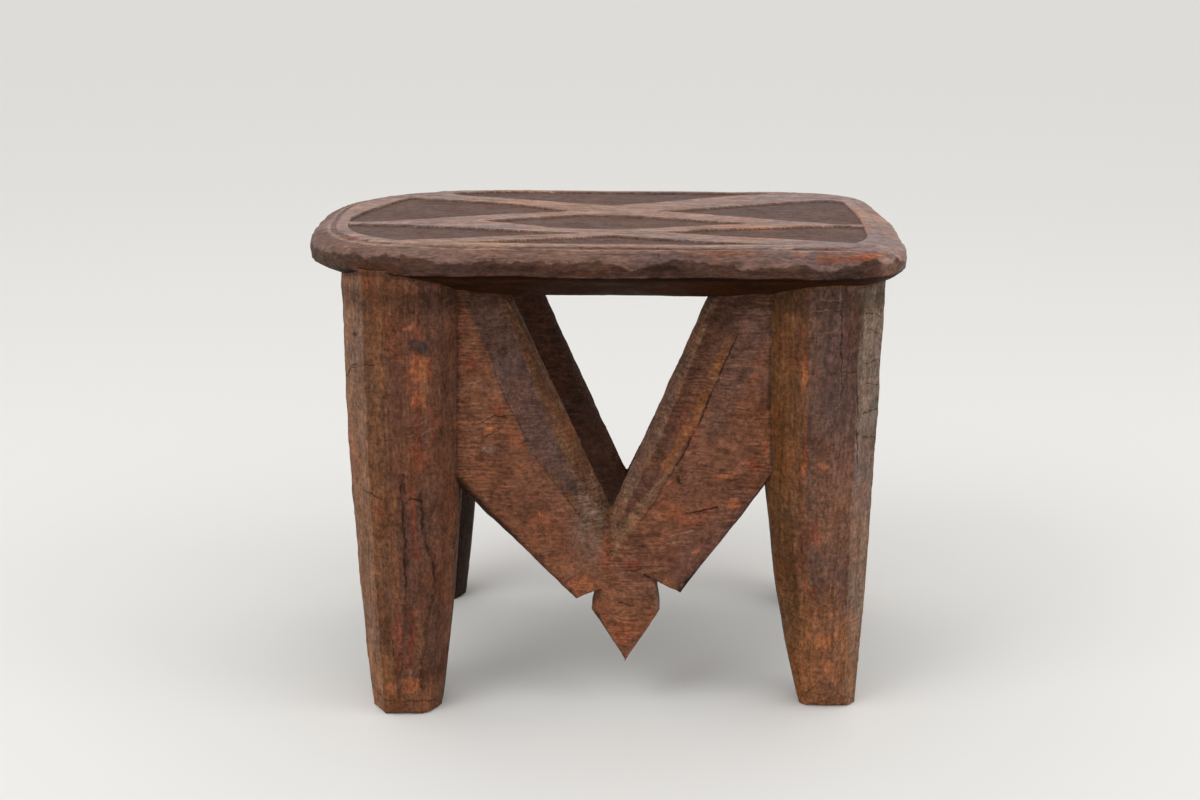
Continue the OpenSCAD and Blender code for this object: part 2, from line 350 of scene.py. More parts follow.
def makeCracks():
    # thin lines between cells, kept only where a wide patch lets them
    group, given, result = startGroup("Cracks", {
        "Vector": (0, 0, 0), "Stretch": (1, 1, 1), "Scale": 30, "Width": 0.01, "Cover": 0.4,
    }, ["Mask"])
    sway = noise(group, given["Vector"], 55.0, 3.0, 0.6, "Color")
    sway = vectorMaths(group, "SCALE", sway, scale=0.012)
    laid = vectorMaths(group, "ADD", given["Vector"], sway)
    laid = vectorMaths(group, "MULTIPLY", laid, given["Stretch"])
    cells = put(group, "ShaderNodeTexVoronoi", feature="DISTANCE_TO_EDGE")
    feed(group, cells.inputs["Vector"], laid)
    feed(group, cells.inputs["Scale"], given["Scale"])
    line = smoothStep(group, cells.outputs["Distance"], 0.0, given["Width"], 1.0, 0.0)
    patch = noise(group, given["Vector"], 22.0, 3.0)
    limit = maths(group, "SUBTRACT", 1.0, given["Cover"])
    patch = smoothStep(group, patch, limit, maths(group, "ADD", limit, 0.08))
    feed(group, result["Mask"], times(group, line, patch))
    return group


def makeEdgeWearAndPaintedLight():
    # a band along a ridge or joint, broken up by the grain. It makes the ridges rubbed by hands, with
    # painted highlight, and the painted shade where pieces meet
    group, given, result = startGroup("Edge wear and painted light", {
        "Vector": (0, 0, 0), "Ridge": 0, "Scale": 120, "Start": 0.6, "Breakup": 0.6,
    }, ["Mask"])
    broken = centred(group, noise(group, given["Vector"], given["Scale"], 5.0, 0.6))
    broken = times(group, broken, given["Breakup"])
    value = maths(group, "ADD", given["Ridge"], broken)
    high = maths(group, "ADD", given["Start"], 0.3)
    feed(group, result["Mask"], smoothStep(group, value, given["Start"], high))
    return group


def makeSpot():
    # 1 at the centre, 0 on the edge and below 0 outside
    group, given, result = startGroup("Spot", {
        "Vector": (0, 0, 0), "Centre": (0, 0, 0), "Scale": (1, 1, 1),
    }, ["Field"])
    offset = vectorMaths(group, "SUBTRACT", given["Vector"], given["Centre"])
    offset = vectorMaths(group, "MULTIPLY", offset, given["Scale"])
    feed(group, result["Field"], maths(group, "SUBTRACT", 1.0, vectorMaths(group, "LENGTH", offset)))
    return group


def makeStroke():
    # the same for a straight line from Start to End
    group, given, result = startGroup("Stroke", {
        "Vector": (0, 0, 0), "Start": (0, 0, 0), "End": (0, 0, 1), "Width": 0.002,
    }, ["Field"])
    along = vectorMaths(group, "SUBTRACT", given["End"], given["Start"])
    offset = vectorMaths(group, "SUBTRACT", given["Vector"], given["Start"])
    share = maths(
        group, "DIVIDE", vectorMaths(group, "DOT_PRODUCT", offset, along),
        vectorMaths(group, "DOT_PRODUCT", along, along),
    )
    share = maths(group, "MINIMUM", maths(group, "MAXIMUM", share, 0.0), 1.0)
    gap = vectorMaths(group, "SUBTRACT", offset, vectorMaths(group, "SCALE", along, scale=share))
    gap = vectorMaths(group, "LENGTH", gap)
    half = maths(group, "DIVIDE", given["Width"], 2.0)
    feed(group, result["Field"], maths(group, "SUBTRACT", 1.0, maths(group, "DIVIDE", gap, half)))
    return group


blotches = makeBlotches()
fibres = makeFibres()
cracks = makeCracks()
edgeWearAndPaintedLight = makeEdgeWearAndPaintedLight()
spotField = makeSpot()
strokeField = makeStroke()

# The wood

# tones as they show in daylight
tones = {
    "tan": paint(124, 90, 69), "umber": paint(106, 70, 48), "brown": paint(99, 64, 48),
    "plum": paint(94, 69, 60), "red": paint(113, 73, 55), "olive": paint(96, 63, 38),
    "walnut": paint(80, 53, 40), "ochre": paint(122, 78, 50), "clay": paint(148, 98, 68),
    # of these, the seat's underside tone and its undercut tone below the rim are painted shade
    "dark": paint(52, 34, 24), "soot": paint(24, 16, 13), "soffit": paint(47, 24, 9),
    "band": paint(150, 123, 112), "rim": paint(114, 88, 79), "chamfer": paint(68, 43, 30),
    "floor": paint(88, 67, 62), "orange": paint(178, 102, 62), "rust": paint(130, 60, 40),
    "pale": paint(172, 140, 126), "grey": paint(118, 100, 87), "slate": paint(54, 46, 44),
    "amber": paint(136, 86, 52),
}
# how strong each mark is, and how soft its edge
strengths = {
    "soot": (0.7, 0.4), "orange": (0.42, 0.6), "rust": (0.42, 0.6), "pale": (0.34, 0.4), "grey": (0.55, 0.8),
    "plum": (0.6, 0.5), "olive": (0.6, 0.6), "ochre": (0.6, 0.5), "dark": (0.55, 0.8), "tan": (0.5, 0.6),
    "clay": (0.45, 1.0), "walnut": (0.6, 0.6), "slate": (0.85, 0.4), "amber": (0.7, 0.5),
}

# shift, scale, cover, edge, amount and tint of each layer of patches
drifts = [
    ((0.1, 0.2, 0.3), 16, 0.45, 0.12, 0.9, (0.84, 0.95, 1.16, 1)),
    ((0.5, 0.1, 0.7), 19, 0.42, 0.12, 0.9, (1.12, 1.0, 0.82, 1)),
    ((0.9, 0.6, 0.2), 55, 0.45, 0.08, 0.8, (1.16, 1.14, 1.06, 1)),
    ((0.2, 0.5, 0.9), 48, 0.4, 0.08, 0.9, (1.14, 0.92, 0.86, 1)),
    ((0.3, 0.8, 0.5), 80, 0.4, 0.1, 0.8, (0.7, 0.68, 0.68, 1)),
    ((0.7, 0.3, 0.1), 70, 0.32, 0.09, 0.7, (1.45, 1.08, 0.8, 1)),
    ((0.4, 0.4, 0.8), 60, 0.34, 0.08, 0.6, (1.3, 1.34, 1.4, 1)),
]
# what all the wood shares
surface = {
    "ragged": 1.6, "comb": 620, "curl": 8 * mm, "combLift": 0.4, "streakDark": 0.18, "streakPale": 0.15,
    "mottle": 0.38, "cloud": 0.2, "pores": 0.3, "poreLie": (0.3, 1, 1), "rubbedAndHighlit": 0.3, "jointShade": 0.6,
    "cracks": 0.4, "smoothest": 0.46, "roughest": 0.64, "bump": 0.7, "bumpDepth": 0.45 * mm, "shine": 0.05,
}
# scale, detail and roughness of each noise
noises = {
    "sway": (70, 6, 0.68), "ragged": (330, 5, 0.7), "worn": (120, 5, 0.6), "combed": (26, 3, 0.55),
    "streak": (230, 5, 0.65), "mottle": (460, 6, 0.75), "cloud": (130, 4, 0.65), "pore": (900, 3, 0.7),
    "pored": (45, 4, 0.55), "seam": (48, 5, 0.6), "rough": (60, 4, 0.55), "swell": (26, 4, 0.6),
    "wobble": (300, 3, 0.55), "speck": (620, 3, 0.7),
}
# what each piece's wood has of its own. Stretches are along x, y and z
woods = {
    "legs": {
        "sway": 9 * mm, "lie": (1, 1, 0.6), "mottled": 1.1, "comb": (0.1, 0.1, 1), "combing": 0.8,
        "streak": (1, 1, 0.05), "streaking": 1.2, "seam": (1, 1, 0.12), "seams": 0.6,
        "crack": (0.35, 0.35, 1), "cracked": 0.28,
    },
    "braces": {
        "sway": 7 * mm, "lie": (0.7, 1, 0.9), "mottled": 1.1, "comb": (0.1, 0.1, 1), "combing": 1.7,
        "streak": (0.15, 1, 1), "streaking": 0.5, "seam": (0.3, 1, 1), "seams": 0.2,
        "crack": (0.3, 1, 1), "cracked": 0.26,
    },
    "seat": {
        "sway": 2.5 * mm, "lie": (0.4, 1, 1), "mottled": 1.0, "comb": (0.08, 1, 1), "combing": 0.7,
        "streak": (0.06, 1, 1), "streaking": 0.8, "seam": (0.12, 1, 1), "seams": 0.2,
        "crack": (0.25, 1, 1), "cracked": 0.26,
        # the wavy line on the rim, the height where its painted shade begins, and the painted shade below it
        "rimLine": (334.6 * mm, 336.4 * mm), "rimSwell": 26 * mm, "rimFoot": (322 * mm, 325 * mm),
        "rimShade": (0.38, 0.31, 0.27, 1), "sunk": 0.75, "brink": 0.12, "incised": 0.5, "speck": (0.4, 1, 1),
    },
}


def markFields(tree, place, marks, lay):
    # one field from all the marks of a tone. A blob is two numbers for its place, its width and its
    # height. A stroke is its width and then its points. All are in mm, and lay turns two numbers
    # into a place
    fields = []
    for mark in marks:
        if isinstance(mark[1], tuple):
            for start, end in zip(mark[1:], mark[2:]):
                fields.append(useGroup(
                    tree, strokeField, "Field", Vector=place, Start=Vector(lay(*start)) * mm,
                    End=Vector(lay(*end)) * mm, Width=mark[0] * mm,
                ))
        else:
            centre = Vector(lay(*mark[:2])) * mm
            size = [2 / (side * mm) if side else 0 for side in lay(*mark[2:])]
            fields.append(useGroup(tree, spotField, "Field", Vector=place, Centre=centre, Scale=size))
    joined = fields[0]
    for field in fields[1:]:
        joined = maths(tree, "MAXIMUM", joined, field)
    return joined


def frontal(x, z):
    return x, 0, z


def level(x, y):
    return x, y, 0


def readAttribute(tree, name, output="Fac"):
    return put(tree, "ShaderNodeAttribute", attribute_name=name).outputs[output]


def stretched(tree, place, stretch, name):
    return noise(tree, vectorMaths(tree, "MULTIPLY", place, stretch), *noises[name])


def patches(tree, place, look, shift, scale, cover, edge):
    moved = vectorMaths(tree, "ADD", place, shift)
    return useGroup(
        tree, blotches, "Mask", Vector=moved, Stretch=look["lie"], Scale=scale, Cover=cover,
        Edge=edge, Detail=6,
    )


def driftTones(tree, place, look):
    # the colour of each flat drifts, first widely and then in patches of all sizes
    colour = readAttribute(tree, "flat", "Color")
    for shift, scale, cover, edge, amount, tint in drifts:
        mask = patches(tree, place, look, shift, scale, cover, edge)
        colour = mix(tree, times(tree, mask, amount), colour, tint, "MULTIPLY")
    return colour


def addMarks(tree, where, look, sides, colour):
    # marks at their own places, bent and broken by the grain. sides lists the marked sides: which
    # way each faces, how far out it lies, how its marks are laid, and the marks
    place = where["Object"]
    sway = noise(tree, place, *noises["sway"], "Color")
    sway = vectorMaths(tree, "SUBTRACT", sway, (0.5, 0.5, 0.5))
    bent = vectorMaths(tree, "ADD", place, vectorMaths(tree, "SCALE", sway, scale=look["sway"]))
    broken = times(tree, centred(tree, noise(tree, place, *noises["ragged"])), surface["ragged"])
    worn = smoothStep(tree, stretched(tree, place, look["lie"], "worn"), 0.36, 0.5, 0.4, 1.0)
    for facing, beyond, lay, marks in sides:
        laid = vectorMaths(tree, "MULTIPLY", bent, [1 if side else 0 for side in lay(1, 1)])
        turned = vectorMaths(tree, "DOT_PRODUCT", where["Normal"], facing)
        faced = smoothStep(tree, turned, 0.1, 0.4)
        outside = vectorMaths(tree, "DOT_PRODUCT", place, facing)
        faced = times(tree, faced, smoothStep(tree, outside, beyond, beyond + 4 * mm))
        for tone in sorted(marks):
            strength, soft = strengths[tone]
            field = maths(tree, "ADD", markFields(tree, laid, marks[tone], lay), broken)
            mask = times(tree, times(tree, smoothStep(tree, field, 0.0, soft), worn), faced)
            colour = mix(tree, times(tree, mask, strength), colour, tones[tone])
    return colour


def addGrain(tree, place, look, colour):
    # fine lines across from the knife, long streaks, a fine mottle, pores, rubbed ridges with painted
    # highlight, and seams
    comb = {"Vector": place, "Stretch": look["comb"], "Scale": surface["comb"], "Curl": surface["curl"]}
    fibre = useGroup(tree, fibres, "Line", **comb)
    thread = useGroup(tree, fibres, "Thread", **comb)
    combed = smoothStep(tree, noise(tree, place, *noises["combed"]), 0.35, 0.62)
    combed = times(tree, combed, look["combing"])
    lift = times(tree, maths(tree, "SUBTRACT", fibre, 0.55), combed)
    shade = maths(tree, "ADD", times(tree, lift, surface["combLift"]), 1.0)
    streak = smoothStep(
        tree, stretched(tree, place, look["streak"], "streak"), 0.3, 0.7,
        1 - surface["streakDark"] * look["streaking"], 1 + surface["streakPale"] * look["streaking"],
    )
    shade = times(tree, shade, streak)
    mottle = stretched(tree, place, look["lie"], "mottle")
    swing = surface["mottle"] * look["mottled"]
    shade = times(tree, shade, smoothStep(tree, mottle, 0.32, 0.68, 1 - swing, 1 + swing))
    cloud = stretched(tree, place, look["lie"], "cloud")
    swing = surface["cloud"] * look["mottled"]
    shade = times(tree, shade, smoothStep(tree, cloud, 0.3, 0.7, 1 - swing, 1 + swing))
    pore = smoothStep(tree, stretched(tree, place, surface["poreLie"], "pore"), 0.56, 0.7)
    pore = times(tree, pore, smoothStep(tree, noise(tree, place, *noises["pored"]), 0.4, 0.6))
    shade = maths(tree, "SUBTRACT", shade, times(tree, pore, surface["pores"]))
    colour = mix(tree, 1.0, colour, shade, "MULTIPLY")

    # ridges are lighter where worn, and partly painted highlight along them
    ridge = readAttribute(tree, "ridge")
    rubbedAndHighlit = useGroup(tree, edgeWearAndPaintedLight, "Mask", Vector=place, Ridge=ridge, Start=0.8, Breakup=0.7)
    colour = mix(tree, times(tree, rubbedAndHighlit, surface["rubbedAndHighlit"]), colour, tones["pale"])

    seam = maths(tree, "ABSOLUTE", centred(tree, stretched(tree, place, look["seam"], "seam")))
    seam = smoothStep(tree, seam, 0.0, 0.02, 1.0, 0.0)
    seam = times(tree, seam, patches(tree, place, look, (0.2, 0.9, 0.4), 40, 0.4, 0.12))
    colour = mix(tree, times(tree, seam, look["seams"]), colour, tones["dark"])

    height = maths(tree, "ADD", times(tree, lift, 0.6), times(tree, thread, 0.15))
    height = maths(tree, "ADD", height, times(tree, mottle, 0.8))
    height = maths(tree, "SUBTRACT", height, times(tree, seam, 0.5))
    height = maths(tree, "SUBTRACT", height, times(tree, pore, 0.5))
    return colour, height


def addSeatCarving(tree, place, look, colour, height, rough):
    # the rim is darker below a wavy line, painted shade on its lower face, and the sunk floors are darker
    # and rougher, with painted shade along their edges
    corner = put(tree, "ShaderNodeSeparateXYZ")
    feed(tree, corner.inputs[0], place)
    rise = corner.outputs["Z"]
    across = vectorMaths(tree, "MULTIPLY", place, (1, 1, 0))
    swell = times(tree, centred(tree, noise(tree, across, *noises["swell"])), look["rimSwell"])
    lower = smoothStep(tree, maths(tree, "ADD", rise, swell), *look["rimLine"], 1.0, 0.0)
    lower = times(tree, lower, smoothStep(tree, rise, *look["rimFoot"]))
    colour = mix(tree, times(tree, lower, 0.9), colour, look["rimShade"], "MULTIPLY")

    wobble = centred(tree, noise(tree, place, *noises["wobble"]))
    depth = maths(tree, "ADD", readAttribute(tree, "panel"), wobble)
    sunk = smoothStep(tree, depth, -0.4, 0.4)
    speck = stretched(tree, place, look["speck"], "speck")
    pitted = mix(tree, smoothStep(tree, speck, 0.36, 0.56), tones["dark"], tones["floor"])
    colour = mix(tree, times(tree, sunk, look["sunk"]), colour, pitted)
    # a dark band along the panel edges is painted shade on their walls
    brink = smoothStep(tree, maths(tree, "ABSOLUTE", depth), 0.2, 0.9, 1.0, 0.0)
    colour = mix(tree, times(tree, brink, look["brink"]), colour, tones["dark"])
    incised = times(tree, readAttribute(tree, "incised"), look["incised"])
    colour = mix(tree, incised, colour, tones["dark"])
    height = maths(tree, "ADD", height, times(tree, sunk, times(tree, speck, 1.4)))
    rough = maths(tree, "ADD", rough, times(tree, sunk, 0.12))
    return colour, height, rough


def makeWood(name, look, sides):
    material = bpy.data.materials.new(name)
    material.use_nodes = True
    tree = material.node_tree
    shader = tree.nodes["Principled BSDF"]
    where = put(tree, "ShaderNodeTexCoord").outputs
    place = where["Object"]
    colour = addMarks(tree, where, look, sides, driftTones(tree, place, look))
    colour, height = addGrain(tree, place, look, colour)
    rough = smoothStep(
        tree, noise(tree, place, *noises["rough"]), 0.3, 0.7, surface["smoothest"], surface["roughest"],
    )
    if "rimLine" in look:
        colour, height, rough = addSeatCarving(tree, place, look, colour, height, rough)

    # painted shade where pieces meet, and thin checks
    joint = readAttribute(tree, "joint")
    # a thin dark band along each joint is painted shade in the corner between the pieces
    jointShade = useGroup(tree, edgeWearAndPaintedLight, "Mask", Vector=place, Ridge=joint, Start=0.86, Breakup=0.3)
    colour = mix(tree, times(tree, jointShade, surface["jointShade"]), colour, tones["soot"])
    check = useGroup(
        tree, cracks, "Mask", Vector=place, Stretch=look["crack"], Scale=42, Width=0.012,
        Cover=look["cracked"],
    )
    colour = mix(tree, times(tree, check, surface["cracks"]), colour, tones["soot"])
    height = maths(tree, "SUBTRACT", height, times(tree, check, 1.2))

    bump = put(tree, "ShaderNodeBump")
    feed(tree, bump.inputs["Height"], height)
    bump.inputs["Strength"].default_value = surface["bump"]
    bump.inputs["Distance"].default_value = surface["bumpDepth"]
    feed(tree, shader.inputs["Base Color"], colour)
    feed(tree, shader.inputs["Roughness"], rough)
    feed(tree, shader.inputs["Normal"], bump.outputs["Normal"])
    shader.inputs["Specular IOR Level"].default_value = surface["shine"]
    return material


# Legs

# each leg's flat tones carry painted light: the outer flat (90) is painted lighter, as lit, and the inner
# (-90), back (180) and lower flats darker, as shade
legs = {
    "frontLeftLeg": {
        "node": "front_left_leg", "near": ["seat", "front_left_strut"], "outer": -1, "side": -1,
        "flats": {
            90: "tan", 53: "tan", 23: "umber", 1: "brown", -24: "brown", -58: "brown", -90: "walnut",
            180: "dark",
        },
        "marks": {
            "clay": [(-127, 250, 26, 56), (-134, 6, 40, 14), (-128, 14, 50, 40), (-131, 60, 14, 60)],
            "dark": [
                # the wide stroke along the top is painted shade under the seat
                (26, (-200, 307), (-100, 307)),
                (1.8, (-168, 18), (-158, 11), (-140, 13), (-123, 9), (-119, 2)),
                (4, (-141, 184), (-141, 158), (-140, 120), (-140, 90), (-143, 56), (-145, 30)),
                (4, (-128, 170), (-126, 140), (-122, 118), (-121, 96), (-126, 70), (-130, 40)),
            ],
            "grey": [
                (1.6, (-136, 219), (-127, 221), (-119, 224)),
                (1.4, (-136, 212), (-128, 213), (-120, 217)), (1.2, (-135, 205), (-122, 208)),
                (1.2, (-134, 200), (-124, 201)),
            ],
            "ochre": [(5, (-147, 170), (-147, 90))],
            "orange": [
                (-127, 261, 20, 26), (-133, 289, 9, 6), (-129, 238, 12, 14), (-124, 233, 14, 4),
                (-138, 24, 17, 17), (-153, 22, 10, 14),
            ],
            "rust": [
                (-120, 258, 5, 24), (-130, 198, 16, 26), (-118, 216, 5, 30), (-146, 60, 9, 60),
                (-133, 250, 6, 26), (6, (-134, 178), (-133, 150), (-132, 120)),
                (8, (-136, 80), (-138, 40)), (3, (-127, 302), (-130, 240), (-128, 190)),
            ],
            "slate": [(9, (-130, 277), (-125, 277), (-125, 274))],
            "soot": [
                (-131, 300, 3, 4), (-172, 283, 3, 5),
                (1.3, (-141, 178), (-141, 158), (-140, 140), (-141, 120), (-140, 100)),
                (1.2, (-128, 165), (-127, 140), (-123, 122), (-121, 104)),
                (2.6, (-139, 186), (-139, 172)), (2, (-134, 168), (-127, 165)),
                (1.4, (-151, 64), (-150, 44)), (2, (-132, 36), (-131, 22)),
                (1, (-176, 255), (-167, 261), (-158, 263)), (1, (-181, 248), (-177, 256), (-172, 260)),
                (1, (-168, 170), (-155, 166)), (1.4, (-127, 300), (-128, 290)),
            ],
            "walnut": [(2.4, (-151, 300), (-151.5, 270), (-152, 238), (-151, 186), (-152, 150))],
        },
    },
    "frontRightLeg": {
        "node": "front_right_leg", "near": ["seat", "front_right_strut"], "outer": 1, "side": -1,
        "flats": {
            90: "tan", 41: "grey", 31: "plum", -4: "plum", -29: "umber", -38: "olive", -90: "olive",
            180: "dark",
        },
        "marks": {
            "amber": [(162, 24, 66, 170)],
            "clay": [(164, 6, 30, 16), (168, 36, 90, 210), (168, 164, 80, 150)],
            "dark": [
                # the first, wide stroke along the top is painted shade under the seat
                (26, (100, 307), (200, 307)), (1.8, (145, 3), (151, 15), (158, 25), (173, 13), (187, 2)),
            ],
            "grey": [
                (1.2, (141, 287), (150, 287), (158, 291)), (1, (142, 280), (157, 284)),
                (1.4, (139, 230), (150, 229), (160, 234)), (1.2, (140, 223), (160, 227)),
                (1, (141, 237), (158, 239)), (1, (141, 311), (158, 310)), (1, (141, 303), (160, 303)),
                (1, (146, 172), (160, 174)),
            ],
            "ochre": [(8, (125, 296), (123, 262), (127, 226), (129, 186), (131, 158))],
            "orange": [
                (158, 55, 14, 26), (162, 34, 6, 16), (136, 256, 4, 26), (138, 190, 4, 20),
                (150, 190, 10, 12), (152, 82, 6, 8),
            ],
            "rust": [
                (2, (139, 160), (141, 130), (144, 96)), (149, 96, 6, 22), (138, 196, 6, 40),
                (148, 140, 14, 30),
            ],
            "soot": [
                (1.1, (159, 303), (160, 284), (162, 240)), (1, (160, 259), (173, 258)),
                (1.1, (173, 258), (175, 228), (177, 190)), (0.9, (178, 298), (192, 294)),
                (0.9, (180, 286), (192, 279)), (0.9, (179, 262), (192, 262)),
                (0.9, (180, 248), (192, 244)), (0.9, (179, 226), (191, 228)),
                (0.9, (181, 209), (190, 206)),
            ],
            "walnut": [
                (4, (133, 300), (131, 272), (134, 232), (136, 190), (138, 160), (142, 110)),
                (141, 134, 9, 40), (151, 120, 6, 30), (3, (163, 120), (164, 80), (165, 40)),
                (170, 290, 18, 60),
            ],
        },
    },
    "backLeftLeg": {
        "node": "back_left_leg", "near": ["seat", "back_left_strut"], "outer": -1, "side": 1,
        "flats": {
            90: "tan", 53: "tan", 23: "brown", 1: "red", -24: "plum", -58: "brown", -90: "dark",
            180: "dark",
        },
        "marks": {
            "orange": [(-140, 262, 12, 22), (-146, 30, 16, 20)],
            "rust": [(-136, 180, 15, 50)],
            "soot": [
                (1.6, (-151, 300), (-152, 230), (-150, 160)), (-120, 210, 7, 10),
                (2, (-135, 150), (-137, 100), (-134, 60)),
            ],
        },
    },
    "backRightLeg": {
        "node": "back_right_leg", "near": ["seat", "back_right_strut"], "outer": 1, "side": 1,
        "flats": {
            90: "tan", 41: "umber", 31: "olive", -4: "red", -29: "plum", -38: "brown", -90: "dark",
            180: "dark",
        },
        "marks": {
            "orange": [(162, 240, 14, 18), (172, 40, 14, 24)],
            "rust": [(160, 150, 16, 60)],
            "soot": [(1.6, (172, 300), (174, 220), (176, 150)), (2, (160, 120), (166, 50))],
        },
    },
}
carving = {
    "cell": 1.5 * mm, "leastRidge": 9, "edge": 5 * mm, "ridge": 6 * mm, "joint": 6 * mm,
    "sink": 4 * mm, "underSeat": 280 * mm, "braceEnd": 90 * mm, "smoothBelow": 40, "spacing": 1.2 * mm,
    # name, size, depth and share that stands proud of each kind of hollow
    "adze": ("adze", 35 * mm, 1.6 * mm, 0.25), "knife": ("knife", 12 * mm, 0.6 * mm, 0.35),
    "nibble": ("nibble", 12 * mm, 1.4 * mm, 0.15), "pores": ("pores", 3.5 * mm, 0.16 * mm, 0.4),
}


def remesh(piece, cell):
    # even faces that keep the flats' sharp edges, then a light rub over all of them
    depth = 8
    applyModifier(
        piece, "REMESH", mode="SHARP", octree_depth=depth, sharpness=1.0,
        scale=max(piece.dimensions) / cell / 2 ** depth, use_remove_disconnected=False,
    )
    applyModifier(piece, "SMOOTH", factor=0.5, iterations=1)


def carve(piece, stretch):
    # the uneven surface that the adze and knife leave
    dent(piece, *carving["adze"], stretch=stretch)
    dent(piece, *carving["knife"], stretch=stretch)
    dent(piece, *carving["nibble"], group="edge")
    dent(piece, *carving["pores"])


def faceTones(piece, source, choose):
    # one tone for each flat of the carved shape, from the way it faces, run together at the edges. The tones
    # hold painted light and shade by the way each flat faces
    mesh = piece.data
    tree = facesTree(source)
    colours = np.array([tones[choose(tree.find_nearest(v.co)[1], v.co)] for v in mesh.vertices])
    ends = np.zeros(len(mesh.edges) * 2, np.int32)
    mesh.edges.foreach_get("vertices", ends)
    first, second = ends.reshape(-1, 2).T
    count = np.bincount(ends, minlength=len(mesh.vertices))[:, None]
    around = np.zeros_like(colours)
    np.add.at(around, first, colours[second])
    np.add.at(around, second, colours[first])
    colours = (colours + around / count) / 2
    layer = mesh.attributes.new("flat", "FLOAT_COLOR", "POINT")
    layer.data.foreach_set("color", colours.astype(np.float32).ravel())


def legTone(plan):
    # flats turned outwards get lit tones, and flats turned inwards, back or down get painted shade
    def choose(normal, place):
        if normal.z < -0.9:
            return "dark"
        turned = math.degrees(math.atan2(normal.x * plan["outer"], normal.y * plan["side"]))
        return min(plan["flats"].items(), key=lambda flat: abs(flat[0] - turned))[1]
    return choose


def finish(piece, edges, source, plan, choose, material, nodes):
    piece.vertex_groups.clear()
    writeAttribute(piece, "ridge", nearness(piece, edges, carving["ridge"]))
    writeAttribute(piece, "joint", neighbourNearness(piece, plan["near"], carving["joint"]))
    faceTones(piece, source, choose)
    bpy.data.objects.remove(source)
    piece.data.materials.append(material)
    pick(piece)
    bpy.ops.object.shade_smooth_by_angle(angle=math.radians(carving["smoothBelow"]))
    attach(piece, "root")
    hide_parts(*nodes)
    print(piece.name, len(piece.data.polygons))


def makeLeg(name, plan, material):
    piece = copyNode(plan["node"], name)
    edges = pointTree(ridgePoints(piece, carving["leastRidge"]))
    source = copyPiece(piece, name + "Source")
    pushFaces(
        piece, lambda face: face.normal.z > 0.2 and face.center.z > carving["underSeat"],
        (0, 0, carving["sink"]),
    )
    remesh(piece, carving["cell"])
    writeGroup(piece, "edge", nearness(piece, edges, carving["edge"]))
    carve(piece, (1, 1, 2.2))
    for v in piece.data.vertices:
        v.co.z = max(v.co.z, 0)
    finish(piece, edges, source, plan, legTone(plan), material, [plan["node"]])


# Braces

